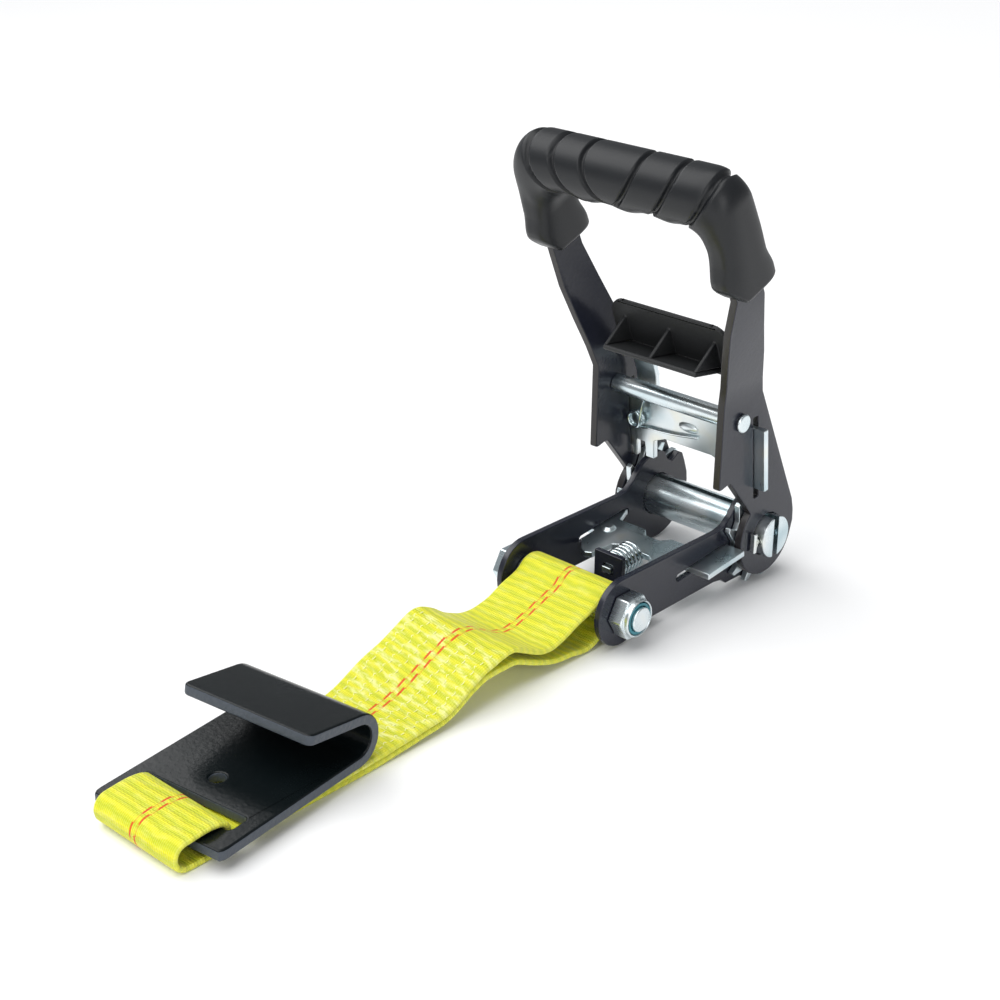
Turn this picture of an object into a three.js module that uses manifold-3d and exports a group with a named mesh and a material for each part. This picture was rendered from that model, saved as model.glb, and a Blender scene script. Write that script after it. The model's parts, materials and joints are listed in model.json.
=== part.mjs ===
// Ratchet tie down: a wide-handled ratchet buckle, a short length of sewn webbing and a flat hook.
// Millimetres. X runs from the hook to the ratchet, Y across the webbing, Z up.
// Everything is drawn about the spindle axis, then the whole group is set down on the floor.
import * as THREE from 'three';
import { mergeVertices } from 'three/addons/utils/BufferGeometryUtils.js';
import Module from 'manifold-3d';

const wasm = await Module();
wasm.setup();

// ---- driving dimensions ----
const GAP = 0.3;
const DEG = Math.PI / 180;

const SPINDLE_HEIGHT = 25.2;
const FLOOR = -SPINDLE_HEIGHT;

const DRUM_RADIUS = 10.4;
const DRUM_HALF_LENGTH = 44.5;
const DRUM_SLOT = 3.6;
const BORE_RADIUS = DRUM_RADIUS + GAP;

const TEETH = 12;
const TOOTH_PITCH = 360 / TEETH;
const TOOTH_TIP_RADIUS = 25.5;
const TOOTH_ROOT_RADIUS = 19.5;
const WHEEL_Y = [31.6, 34.6];

const BASE_Y = [28, 31.2];
const BOLT_X = -98.5;
const BOLT_Z = -7.5;
const BOLT_RADIUS = 5.9;
const BOLT_END_RADIUS = 16.5;
const CAM_RADIUS = 24.3;
const NUT_ACROSS_FLATS = 19;

const PAWL_THICKNESS = 3;
const SLOT_HEIGHT = PAWL_THICKNESS + 2 * GAP;
const BASE_PAWL_TILT = 5.3;
const BASE_PAWL_TIP = 21.8;
const BASE_PAWL_EAR = 49.5;
const BASE_PAWL_TRAVEL = 8;

const HANDLE_Y = [35, 39];
const HANDLE_END_RADIUS = 20.8;
const FLARE_START = 77;
const FLARE_END = 133.7;
const FLARE = 15 / (FLARE_END - FLARE_START);
const HANDLE_DIRECTION = 112.3;
const GRIP_X = -68.5;
const GRIP_Z = 180.2;
const GRIP_RADIUS = 14;
const GRIP_LEG_Y = [44.5, 60.5];
const ARM_HALF_WIDTH = 9.25;
const TUBE_X = -27.2;
const TUBE_Z = 65.5;

const HANDLE_PAWL_DIRECTION = 96.4;
const HANDLE_PAWL_OFFSET = -8.5;
const HANDLE_PAWL_TRAVEL = 5;
const HANDLE_PAWL_EARS = [29.3, 61.1];
const HANDLE_PAWL_LEG_RADIUS = 26.4;
const PULL_BEND = 72;
const PULL_ARM_Y = [18.5, 30.5];
const PULL_ARM_REACH = 32;
const PULL_LIFT = 9.3;

const WEB_THICKNESS = 2.8;
const WEB_WIDTH = 50;
const LOOP_INNER = 8.2;

const HOOK_THICKNESS = 5;
const HOOK_WIDTH = 68;
const HOOK_YAW = 7;
const HOOK_FRONT_X = -339;
const HOOK_FRONT_Y = -2.4;
const HOOK_UNDERSIDE = FLOOR + 2 * WEB_THICKNESS + GAP;
const HOOK_SLOT = [12.5, 22.8];
const HOOK_SLOT_WIDTH = 53;

// ---- finishes ----
function finish(color, roughness, metalness) {
  return new THREE.MeshStandardMaterial({ color, roughness, metalness });
}

const BLACK_PAINT = finish(0x16181b, 0.35, 0.0);
const ZINC = finish(0xb9c4c6, 0.32, 1.0);
const SPRING_STEEL = finish(0xc3c8c6, 0.3, 1.0);
const SOFT_RUBBER = finish(0x1b1c1f, 0.75, 0.0);
const MATTE_PLASTIC = finish(0x202124, 0.6, 0.0);
const NYLON = finish(0x2f7f8c, 0.45, 0.0);
const YELLOW_WEBBING = finish(0xe3e61a, 0.8, 0.0);

// ---- outlines: plain arrays of Vector2 in the XZ plane unless said otherwise ----
function point(x, z) {
  return new THREE.Vector2(x, z);
}

function arc(x, z, radius, from, to, steps) {
  return Array.from({ length: steps + 1 }, (_, i) => {
    const angle = (from + ((to - from) * i) / steps) * DEG;
    return point(x + radius * Math.cos(angle), z + radius * Math.sin(angle));
  });
}

function circle(x, z, radius, steps = 32) {
  return arc(x, z, radius, 0, 360 - 360 / steps, steps - 1);
}

// A closed outline of points and of corners [x, z, cut], which a quadratic curve rounds off.
function rounded(corners, steps = 4) {
  const places = corners.map((corner) => (corner.isVector2 ? corner : point(corner[0], corner[1])));
  return corners.flatMap((corner, i) => {
    const here = places[i];
    if (corner.isVector2 || !corner[2]) {
      return [here];
    }
    const before = places[(i + places.length - 1) % places.length];
    const after = places[(i + 1) % places.length];
    const start = before.clone().sub(here).setLength(corner[2]).add(here);
    const end = after.clone().sub(here).setLength(corner[2]).add(here);
    return new THREE.QuadraticBezierCurve(start, here, end).getPoints(steps);
  });
}

function slotOutline(from, to, halfWidth, steps = 6) {
  const along = to.clone().sub(from);
  const angle = Math.atan2(along.y, along.x) / DEG;
  return [
    ...arc(from.x, from.y, halfWidth, angle + 90, angle + 270, steps),
    ...arc(to.x, to.y, halfWidth, angle - 90, angle + 90, steps),
  ];
}

// ---- solids ----
// A flat shape in its own XY plane, as thick as the two levels say.
function sheet(outline, holes, low, high) {
  const shape = new THREE.Shape(outline);
  shape.holes = holes.map((hole) => new THREE.Path(hole));
  const options = { depth: high - low, bevelEnabled: false, steps: 1 };
  return new THREE.ExtrudeGeometry(shape, options).translate(0, 0, low);
}

// An XZ outline extruded along Y.
function plate(outline, holes, yLow, yHigh) {
  return sheet(outline, holes, -yHigh, -yLow).rotateX(Math.PI / 2);
}

function rodY(radius, yLow, yHigh, x = 0, z = 0, sides = 32) {
  const rod = new THREE.CylinderGeometry(radius, radius, yHigh - yLow, sides);
  return rod.translate(x, (yLow + yHigh) / 2, z);
}

function rodX(radius, xLow, xHigh, y, z, sides = 16) {
  const rod = new THREE.CylinderGeometry(radius, radius, xHigh - xLow, sides);
  return rod.rotateZ(Math.PI / 2).translate((xLow + xHigh) / 2, y, z);
}

function box(x, y, z) {
  const block = new THREE.BoxGeometry(x[1] - x[0], y[1] - y[0], z[1] - z[0]);
  return block.translate((x[0] + x[1]) / 2, (y[0] + y[1]) / 2, (z[0] + z[1]) / 2);
}

function wire(points, radius, sides, steps) {
  const curve = new THREE.CatmullRomCurve3(points, false, 'centripetal');
  const section = new THREE.Shape(arc(0, 0, radius, 0, 360 - 360 / sides, sides - 1));
  return new THREE.ExtrudeGeometry(section, { steps, bevelEnabled: false, extrudePath: curve });
}

function toSolid(geometry) {
  const bare = geometry.clone();
  bare.deleteAttribute('normal');
  bare.deleteAttribute('uv');
  const merged = mergeVertices(bare, 1e-4);
  const vertProperties = new Float32Array(merged.attributes.position.array);
  const triVerts = new Uint32Array(merged.index.array);
  return new wasm.Manifold(new wasm.Mesh({ numProp: 3, vertProperties, triVerts }));
}

function toGeometry(solid) {
  const mesh = solid.getMesh();
  const geometry = new THREE.BufferGeometry();
  geometry.setAttribute('position', new THREE.BufferAttribute(mesh.vertProperties, 3));
  geometry.setIndex(new THREE.BufferAttribute(mesh.triVerts, 1));
  geometry.computeVertexNormals();
  return geometry;
}

function join(...geometries) {
  return toGeometry(geometries.map(toSolid).reduce((whole, piece) => whole.add(piece)));
}

function cut(geometry, ...tools) {
  return toGeometry(tools.map(toSolid).reduce((whole, tool) => whole.subtract(tool), toSolid(geometry)));
}

function common(a, b) {
  return toGeometry(toSolid(a).intersect(toSolid(b)));
}

function mirrorY(geometry) {
  const copy = (geometry.index ? geometry.toNonIndexed() : geometry.clone()).scale(1, -1, 1);
  const position = copy.attributes.position.array;
  for (let i = 0; i < position.length; i += 9) {
    for (let axis = 0; axis < 3; axis += 1) {
      [position[i + axis], position[i + 3 + axis]] = [position[i + 3 + axis], position[i + axis]];
    }
  }
  return copy;
}

// ---- the model ----
const tieDown = new THREE.Group();
tieDown.name = 'ratchet_tie_down';

function add(name, geometry, material) {
  const mesh = new THREE.Mesh(geometry, material);
  mesh.name = name;
  tieDown.add(mesh);
}

// ---- base: one pressing, two cheeks joined by a web that carries the spring tab ----
const basePawlAlong = point(-Math.cos(BASE_PAWL_TILT * DEG), -Math.sin(BASE_PAWL_TILT * DEG));

function onBasePawl(distance) {
  return basePawlAlong.clone().multiplyScalar(distance);
}

function baseCheek() {
  const outline = [
    ...arc(BOLT_X, BOLT_Z, BOLT_END_RADIUS, 86, 296, 18),
    point(-82, -18.6),
    point(-30, -18.2),
    point(-24, -19.2),
    point(-20, -22.2),
    ...arc(0, 0, CAM_RADIUS, -113, 11, 12),
    point(21.4, 11.6),
    point(19.4, 16.2),
    point(16.3, 17.8),
    point(10.9, 14.4),
    point(7.2, 16.6),
    point(5, 20.9),
    ...arc(0, 0, 23.4, 88, 146, 7),
    point(-24, 9.6),
    point(-30, 8.4),
  ];
  const slotEnd = BASE_PAWL_EAR + BASE_PAWL_TRAVEL + 2.5 - SLOT_HEIGHT / 2;
  const slot = slotOutline(onBasePawl(slotEnd), onBasePawl(24.4), SLOT_HEIGHT / 2);
  const holes = [circle(0, 0, BORE_RADIUS), circle(BOLT_X, BOLT_Z, BOLT_RADIUS + GAP, 24), slot];
  return plate(outline, holes, ...BASE_Y);
}

function baseFrame() {
  const cheek = baseCheek();
  const web = box([-85, -70], [-29, 29], [-18.6, -15.6]);
  const tab = box([-72, -69], [-8.3, 8.3], [-17, 1.2]);
  const tongueHole = box([-74, -67], [-3.1, 3.1], [-9, -4]);
  return cut(join(cheek, mirrorY(cheek), web, tab), tongueHole);
}

// ---- end bolt, its sleeve and lock nut ----
function hexagon(radius) {
  return circle(BOLT_X, BOLT_Z, radius, 6);
}

const HEX_RADIUS = NUT_ACROSS_FLATS / Math.sqrt(3);

function endBolt() {
  const head = plate(hexagon(HEX_RADIUS), [], BASE_Y[1] + GAP, BASE_Y[1] + 8);
  return join(head, rodY(BOLT_RADIUS, -42.5, BASE_Y[1] + 1, BOLT_X, BOLT_Z, 24));
}

function lockNut() {
  const body = plate(hexagon(HEX_RADIUS), [], -BASE_Y[1] - 7.6, -BASE_Y[1] - GAP);
  const collar = rodY(8.9, -BASE_Y[1] - 10, -BASE_Y[1] - 7, BOLT_X, BOLT_Z, 24);
  const thread = rodY(BOLT_RADIUS + GAP, -50, -20, BOLT_X, BOLT_Z, 24);
  const seat = rodY(7.9, -50, -BASE_Y[1] - 7.4, BOLT_X, BOLT_Z, 24);
  return cut(join(body, collar), thread, seat);
}

function ringY(inner, outer, yLow, yHigh) {
  return plate(circle(BOLT_X, BOLT_Z, outer, 24), [circle(BOLT_X, BOLT_Z, inner, 24)], yLow, yHigh);
}

// ---- base pawl: a flat plate in the cheeks' slots, with a tongue through spring and tab ----
function basePawl() {
  const half = [
    [-38.5, 4],
    [-34, 8],
    [-34, 24],
    [-25, 27.4],
    [-24, 27.4],
    [-24, 31.4],
    [-BASE_PAWL_TIP, 31.4],
    [-BASE_PAWL_TIP, 42],
    [-BASE_PAWL_EAR, 42],
    [-BASE_PAWL_EAR, 27.4],
    [-60, 26.8],
    [-66.5, 21.5],
    [-68.5, 17.5],
    [-67, 14.2],
    [-62, 13.2],
    [-55, 12],
    [-53, 9],
    [-53, 2.6],
    [-73.5, 2.6],
  ];
  const outline = half.map(([x, y]) => point(x, y));
  const otherSide = half.map(([x, y]) => point(x, -y)).reverse();
  const flat = sheet([...outline, ...otherSide], [], -PAWL_THICKNESS / 2, PAWL_THICKNESS / 2);
  const pips = [-23, 23].map((y) => {
    const pip = new THREE.CylinderGeometry(2.4, 4, 1.6, 16).rotateX(Math.PI / 2);
    return pip.translate(-44, y, PAWL_THICKNESS / 2 + 0.6);
  });
  return join(flat, ...pips).rotateY(-BASE_PAWL_TILT * DEG);
}

function basePawlSpring() {
  const [coilRadius, turns, from, to] = [6.3, 6, -68, -54.1];
  const points = Array.from({ length: turns * 10 + 1 }, (_, i) => {
    const angle = (i / 10) * 2 * Math.PI;
    const x = from + ((to - from) * i) / (turns * 10);
    return new THREE.Vector3(x, coilRadius * Math.cos(angle), coilRadius * Math.sin(angle));
  });
  return wire(points, 0.7, 6, turns * 12).rotateY(-BASE_PAWL_TILT * DEG);
}

// ---- spindle: two half-round bars, a toothed wheel and a split pin at each end ----
function spindleHalf(side) {
  const start = Math.asin(DRUM_SLOT / 2 / DRUM_RADIUS) / DEG;
  const round = arc(0, 0, DRUM_RADIUS, start - 90, 90 - start, 18);
  const bar = plate(round.map((p) => point(side * p.x, p.y)), [], -DRUM_HALF_LENGTH, DRUM_HALF_LENGTH);
  return cut(bar, rodX(1.8, -12, 12, 41, 0), rodX(1.8, -12, 12, -41, 0));
}

function wheelOutline() {
  const outline = [];
  const polar = (radius, degrees) => arc(0, 0, radius, degrees, degrees, 1)[0];
  for (let tooth = 0; tooth < TEETH; tooth += 1) {
    const gap = 180 + BASE_PAWL_TILT + tooth * TOOTH_PITCH;
    outline.push(polar(TOOTH_ROOT_RADIUS, gap - 6));
    outline.push(polar(TOOTH_ROOT_RADIUS, gap + 5.44));
    outline.push(polar(TOOTH_TIP_RADIUS, gap + 4.16));
    outline.push(polar(TOOTH_TIP_RADIUS, gap + TOOTH_PITCH - 21));
  }
  return outline;
}

function ratchetWheel(yLow, yHigh) {
  const start = Math.asin((DRUM_SLOT / 2 - GAP) / BORE_RADIUS) / DEG;
  const half = arc(0, 0, BORE_RADIUS, start - 90, 90 - start, 14);
  const holes = [half, half.map((p) => point(-p.x, p.y)).reverse()];
  return plate(wheelOutline(), holes, yLow, yHigh);
}

function splitPin(y) {
  const shank = rodX(1.45, -12.6, 11.8, y, 0, 12);
  const bow = box([-14.4, -12.2], [y - 1.45, y + 1.45], [-5, 5]);
  return join(shank, bow);
}

// ---- handle side plates: flat below, splayed above, parallel again inside the grip ----
const pawlUp = new THREE.Vector3(
  Math.cos(HANDLE_PAWL_DIRECTION * DEG), 0, Math.sin(HANDLE_PAWL_DIRECTION * DEG));
const pawlNormal = new THREE.Vector3(pawlUp.z, 0, -pawlUp.x);
const across = new THREE.Vector3(0, 1, 0);

function onHandlePawl(distance, offset = 0) {
  const at = pawlUp.clone().multiplyScalar(distance);
  at.addScaledVector(pawlNormal, HANDLE_PAWL_OFFSET + offset);
  return point(at.x, at.z);
}

function handleSide() {
  const lowOutline = rounded([
    ...arc(0, 0, HANDLE_END_RADIUS, 134, 338, 20),
    point(21.6, 0),
    point(21.4, 6),
    point(19.8, 12.4),
    point(16.6, 19),
    point(-11.4, FLARE_START),
    point(-41, FLARE_START),
    [-41, 35.4, 1],
    [-39, 35.2, 0.8],
    [-32.5, 36.8, 2],
    [-17.8, 19.3, 1],
  ], 3);
  const slotLow = HANDLE_PAWL_EARS[0] - HANDLE_PAWL_TRAVEL - GAP;
  const slotHigh = HANDLE_PAWL_EARS[1] + HANDLE_PAWL_TRAVEL + GAP;
  const slot = [[slotLow, -1], [slotLow, 1], [slotHigh, 1], [slotHigh, -1]].map(
    ([distance, side]) => onHandlePawl(distance, (side * SLOT_HEIGHT) / 2));
  const low = plate(lowOutline, [circle(0, 0, BORE_RADIUS), circle(TUBE_X, TUBE_Z, 3.3, 16), slot], ...HANDLE_Y);

  const flareOutline = [
    [-11.4, FLARE_START], [-15.5, 85.5], [-21.9, 101], [-29.4, 116.5], [-37.3, FLARE_END],
    [-57.6, FLARE_END], [-54.7, 117], [-49.4, 101.5], [-43.7, 86.5], [-41, FLARE_START],
  ].map(([x, z]) => point(x, z));
  const lean = new THREE.Matrix4().set(1, 0, 0, 0, 0, 1, FLARE, -FLARE * FLARE_START, 0, 0, 1, 0, 0, 0, 0, 1);
  const flared = plate(flareOutline, [], ...HANDLE_Y).applyMatrix4(lean);

  const top = plate(armOutline(0), [circle(GRIP_X, GRIP_Z, 3.3, 16)], HANDLE_Y[0] + 15, HANDLE_Y[1] + 15);
  return join(low, flared, top);
}

function armOutline(extra) {
  const half = ARM_HALF_WIDTH + extra;
  const lean = Math.atan2(GRIP_Z - FLARE_END, GRIP_X + 47.45) / DEG;
  const foot = half / Math.sin(lean * DEG);
  return [
    ...arc(GRIP_X, GRIP_Z, half, lean - 90, lean + 90, 10),
    point(-47.45 - foot, FLARE_END),
    point(-47.45 + foot, FLARE_END),
  ];
}

function gripRod() {
  return join(rodY(5, -49.7, 49.7, GRIP_X, GRIP_Z, 20), rodY(3, -55.5, 55.5, GRIP_X, GRIP_Z, 16));
}

function handleRivet() {
  const shank = rodY(3, -HANDLE_Y[1] - 1, HANDLE_Y[1] + 1, TUBE_X, TUBE_Z, 16);
  const heads = [-1, 1].map((side) => {
    const head = rodY(4.5, HANDLE_Y[1] + GAP, HANDLE_Y[1] + 2.3, TUBE_X, TUBE_Z, 20);
    return side > 0 ? head : mirrorY(head);
  });
  return join(shank, ...heads);
}

function spacerTube() {
  const hole = circle(TUBE_X, TUBE_Z, 3.3, 16);
  return plate(circle(TUBE_X, TUBE_Z, 4.5, 24), [hole], -HANDLE_Y[0] + GAP, HANDLE_Y[0] - GAP);
}

// ---- grip: a soft moulded bow over the two arms and the rod between them ----
function grip() {
  const legOutline = rounded([
    ...arc(GRIP_X, GRIP_Z, GRIP_RADIUS, 22, 164, 10),
    [-80.6, 176, 2],
    [-69.6, 142.6, 2],
    [-58, 136.6, 3],
    [-35.6, 145.6, 2],
    [-46.4, 162.5, 4],
  ], 3);
  const [inside, outside] = GRIP_LEG_Y;
  const leg = plate(legOutline, [], inside, outside);
  const bow = join(leg, mirrorY(leg), rodY(GRIP_RADIUS, -outside, outside, GRIP_X, GRIP_Z, 24));
  // seen square to the handle, the two shoulders are rounded
  const tangent = new THREE.Vector3(Math.cos(HANDLE_DIRECTION * DEG), 0, Math.sin(HANDLE_DIRECTION * DEG));
  const reach = GRIP_X * tangent.x + GRIP_Z * tangent.z + GRIP_RADIUS;
  const face = rounded([[outside, 90], [outside, reach + 0.1, 22], [-outside, reach + 0.1, 22], [-outside, 90]], 8);
  const frontal = new THREE.Matrix4().makeBasis(across, tangent, across.clone().cross(tangent));
  const shoulders = sheet(face, [], -80, 80).applyMatrix4(frontal);
  const pocket = plate(armOutline(GAP), [], HANDLE_Y[0] + 15 - GAP, HANDLE_Y[1] + 15 + GAP);
  const rodHole = rodY(5 + GAP, -56, 56, GRIP_X, GRIP_Z, 20);
  return cut(common(bow, shoulders), pocket, mirrorY(pocket), rodHole);
}

// ---- handle pawl: a flat plate in the side plates' slots, and one arm up to the finger pull ----
const pawlPlane = new THREE.Matrix4().makeBasis(across, pawlUp, pawlNormal);
pawlPlane.setPosition(pawlNormal.clone().multiplyScalar(HANDLE_PAWL_OFFSET));

const pullUp = new THREE.Vector3(Math.cos(HANDLE_DIRECTION * DEG), 0, Math.sin(HANDLE_DIRECTION * DEG));
const pullNormal = new THREE.Vector3(pullUp.z, 0, -pullUp.x);
const pullPlane = new THREE.Matrix4().makeBasis(across, pullUp, pullNormal);
const bend = onHandlePawl(PULL_BEND);
pullPlane.setPosition(bend.x, 0, bend.y);

function handlePawl() {
  const legEnd = Math.sqrt(HANDLE_PAWL_LEG_RADIUS ** 2 - HANDLE_PAWL_OFFSET ** 2);
  const half = [
    [14, 39],
    [21, 36],
    [21.4, 26],
    [26.4, 26],
    [26.8, 34],
    [31.7, 34],
    [31.7, legEnd],
    [34.6, legEnd],
    [34.6, HANDLE_PAWL_EARS[0]],
    [45, HANDLE_PAWL_EARS[0]],
    [45, HANDLE_PAWL_EARS[1]],
  ];
  const outline = half.map(([y, s]) => point(y, s));
  const otherSide = half.map(([y, s]) => point(-y, s)).reverse();
  const flat = sheet([...outline, ...otherSide], [], -PAWL_THICKNESS / 2, PAWL_THICKNESS / 2);
  const lance = new THREE.SphereGeometry(1, 16, 8).scale(6, 2.4, 1.8).translate(-1, 50, -PAWL_THICKNESS / 2);
  const neck = box(PULL_ARM_Y, [HANDLE_PAWL_EARS[1] - 1, PULL_BEND], [-PAWL_THICKNESS / 2, PAWL_THICKNESS / 2]);
  const reach = [-0.6, PULL_ARM_REACH];
  const arm = box(PULL_ARM_Y, reach, [-PAWL_THICKNESS / 2, PAWL_THICKNESS / 2]).applyMatrix4(pullPlane);
  const upright = [flat, neck, lance].map((piece) => piece.applyMatrix4(pawlPlane));
  return join(...upright, arm);
}

// Drawn in (distance up the pull, distance forward of the arms); forward is away from the spindle side.
function fingerPull() {
  // local X is up the pull from a lift above the arm's bend, and local Z is forward
  const [wallHalf, ledgeHalf, ribHalf] = [34, 27, 0.9];
  const wall = plate(rounded([[8, 1.4], [36, 1.4, 0.8], [36, 3.8, 0.8], [8, 3.8]], 2), [], -wallHalf, wallHalf);
  const front = rounded([[7, -wallHalf], [36, -wallHalf, 10], [36, wallHalf, 10], [7, wallHalf]], 8);
  const panel = common(wall, sheet(front, [], -1, 6));
  const shelf = rounded([
    [9.6, 2.4], [9.6, 3.9], [10.35, 5], [20.75, 22.2, 0.8], [22.8, 21, 0.8], [12.4, 3.8], [12.4, 2.4],
  ], 2);
  const ledge = plate(shelf, [], -ledgeHalf, ledgeHalf);
  const ribs = [ribHalf - ledgeHalf, 0, ledgeHalf - ribHalf].map((y) => {
    const rib = [[27.6, 3], [22.6, 20.6], [12.4, 3]].map(([s, n]) => point(s, n));
    return plate(rib, [], y - ribHalf, y + ribHalf);
  });
  const half = PAWL_THICKNESS / 2 + GAP;
  const armEnd = PULL_ARM_REACH - PULL_LIFT;
  const socket = box([8, armEnd + 2.2], [PULL_ARM_Y[0] - 2, PULL_ARM_Y[1] + 2], [-half - 1.4, 2.4]);
  const pocket = box([0, armEnd + 2 * GAP], [PULL_ARM_Y[0] - GAP, PULL_ARM_Y[1] + GAP], [-half, half]);
  const stand = new THREE.Matrix4().makeBasis(pullUp, across, pullNormal.clone().negate());
  const local = cut(join(panel, ledge, socket, ...ribs), pocket);
  local.translate(PULL_LIFT, 0, 0);
  return local.applyMatrix4(stand).translate(bend.x, 0, bend.y);
}

// A coil in front of the pawl, one leg along the plate and one up to the tube.
function hairpinSpring() {
  const [coilY, coilUp, coilRadius, turns] = [29.6, 47, 3.7, 2];
  const front = -PAWL_THICKNESS / 2 - 1.2;
  const coil = Array.from({ length: turns * 10 + 3 }, (_, i) => {
    const angle = -Math.PI / 2 - (i / 10) * 2 * Math.PI;
    return [coilY + coilRadius * Math.cos(angle), coilUp + coilRadius * Math.sin(angle), front - i * 0.17];
  });
  const points = [[-7, 46.6, front], [8, 44.2, front], [22, 43, front], ...coil, [24.5, 56, -5], [22, 63, -5]];
  return wire(points.map((p) => new THREE.Vector3(...p)), 0.75, 6, 66).applyMatrix4(pawlPlane);
}

// ---- webbing: two sewn loops and the doubled length between them, drawn from the side ----
function webbing() {
  const outer = LOOP_INNER + WEB_THICKNESS;
  const doubled = 2 * WEB_THICKNESS;
  const frontTop = HOOK_UNDERSIDE + HOOK_THICKNESS + GAP + WEB_THICKNESS;
  const throat = HOOK_FRONT_X + 18.9;
  const nose = HOOK_FRONT_X - 2.1;
  const noseRadius = 6.4;
  const upper = smooth([
    [-107.4, -1.2], [-118, -5], [-130, -9.2], [-143, -10.4], [-155, -6.2], [-166, -0.6], [-176, 0.8],
    [-187, -2.6], [-199, -8.4], [-214, -13.8], [-232, FLOOR + doubled + 1.6], [-256, FLOOR + doubled],
  ], 26);
  const lower = smooth([
    [-242, FLOOR], [-214, FLOOR + 0.2], [-200, -22.4], [-186, -16.6], [-172, -13.4],
    [-158, -14.8], [-142, -19.4], [-126, -23.2], [-112, -24.6], [-101, -20.6],
  ], 22);
  const outline = rounded([
    ...arc(BOLT_X, BOLT_Z, outer, -60, 140, 16),
    ...upper.slice(1),
    [throat, FLOOR + doubled, 1],
    [throat, frontTop, 4],
    ...arc(nose, frontTop - noseRadius, noseRadius, 92, 180, 6),
    ...arc(nose, FLOOR + noseRadius, noseRadius, 182, 268, 6),
    ...lower,
  ]);
  const bolt = arc(BOLT_X, BOLT_Z, LOOP_INNER, -90, 141, 18);
  const innerUpper = smooth([
    [-108.6, -4.2], [-119, -7.8], [-131, -12.1], [-143, -13.3], [-156, -9.2], [-167, -3.6], [-172, -3],
    [-180, -5.4], [-190, -11.4],
  ], 16);
  const innerLower = smooth([
    [-186, -13.5], [-172, -10.4], [-157, -12], [-143, -16.2], [-127, -20.2], [-112, -21.6], [-104, -19.4],
  ], 14);
  const eyelet = [...bolt, ...innerUpper, ...innerLower];
  const barTop = HOOK_UNDERSIDE + HOOK_THICKNESS + GAP;
  const barLoop = [
    point(throat - WEB_THICKNESS, FLOOR + WEB_THICKNESS),
    point(throat - WEB_THICKNESS, barTop),
    ...arc(nose, barTop - noseRadius + WEB_THICKNESS, noseRadius - WEB_THICKNESS, 92, 180, 4),
    ...arc(nose, FLOOR + noseRadius, noseRadius - WEB_THICKNESS, 182, 268, 4),
  ];
  return plate(outline, [eyelet, barLoop], -WEB_WIDTH / 2, WEB_WIDTH / 2);
}

function smooth(points, steps) {
  return new THREE.SplineCurve(points.map(([x, z]) => point(x, z))).getPoints(steps);
}

// ---- flat hook: a plate with a webbing slot, folded back over itself at the far end ----
// Drawn from its own front edge, then turned and set down on the webbing.
function flatHook() {
  const rearX = 92;
  const bendRadius = 12;
  const bendX = rearX - bendRadius;
  const lipFrontX = 50;
  const lipTop = 29.4;
  const inner = bendRadius - HOOK_THICKNESS;
  const lean = Math.atan2(lipTop - 2 * bendRadius, bendX - lipFrontX) / DEG;
  const side = [
    ...arc(bendX, bendRadius, bendRadius, -90, 90 - lean, 14),
    point(lipFrontX + 0.9, lipTop),
    point(lipFrontX, lipTop - HOOK_THICKNESS + 0.1),
    ...arc(bendX, bendRadius, inner, 90 - lean, -90, 10),
    point(0, HOOK_THICKNESS),
    point(0, 0),
  ];
  const half = HOOK_WIDTH / 2;
  const plan = rounded([
    [-1, -half, 5], [rearX + 1, -half, 0], [rearX + 1, half, 0], [-1, half, 5],
  ], 4);
  const slot = rounded([
    [HOOK_SLOT[0], -HOOK_SLOT_WIDTH / 2, 2], [HOOK_SLOT[1], -HOOK_SLOT_WIDTH / 2, 2],
    [HOOK_SLOT[1], HOOK_SLOT_WIDTH / 2, 2], [HOOK_SLOT[0], HOOK_SLOT_WIDTH / 2, 2],
  ], 3);
  const small = circle(36, 2, 3.5, 16);
  const bent = common(plate(side, [], -half, half), sheet(plan, [], -1, lipTop + 5));
  const hook = cut(bent, sheet(slot, [], -1, HOOK_THICKNESS + 1), sheet(small, [], -1, HOOK_THICKNESS + 1));
  return hook.rotateZ(HOOK_YAW * DEG).translate(HOOK_FRONT_X, HOOK_FRONT_Y, HOOK_UNDERSIDE);
}

add('base_frame', baseFrame(), BLACK_PAINT);
add('end_bolt', endBolt(), ZINC);
add('lock_nut', lockNut(), ZINC);
add('nut_nylon_ring', ringY(BOLT_RADIUS + GAP, 7.6, -BASE_Y[1] - 9.8, -BASE_Y[1] - 7.7), NYLON);
add('bolt_sleeve', ringY(BOLT_RADIUS + GAP, 7.8, -27.6, 27.6), ZINC);
add('base_pawl', basePawl(), ZINC);
add('base_pawl_spring', basePawlSpring(), SPRING_STEEL);

add('spindle_half_front', spindleHalf(-1), ZINC);
add('spindle_half_rear', spindleHalf(1), ZINC);
add('ratchet_wheel_left', ratchetWheel(...WHEEL_Y), ZINC);
add('ratchet_wheel_right', ratchetWheel(-WHEEL_Y[1], -WHEEL_Y[0]), ZINC);
add('split_pin_left', splitPin(41), SPRING_STEEL);
add('split_pin_right', splitPin(-41), SPRING_STEEL);

const leftSide = handleSide();
add('handle_side_left', leftSide, BLACK_PAINT);
add('handle_side_right', mirrorY(leftSide), BLACK_PAINT);
add('spacer_tube', spacerTube(), ZINC);
add('handle_rivet', handleRivet(), ZINC);
add('grip_rod', gripRod(), ZINC);
add('handle_grip', grip(), SOFT_RUBBER);
add('hairpin_spring', hairpinSpring(), SPRING_STEEL);
add('handle_pawl', handlePawl(), ZINC);
add('finger_pull', fingerPull(), MATTE_PLASTIC);

add('webbing', webbing(), YELLOW_WEBBING);
add('flat_hook', flatHook(), BLACK_PAINT);

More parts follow.
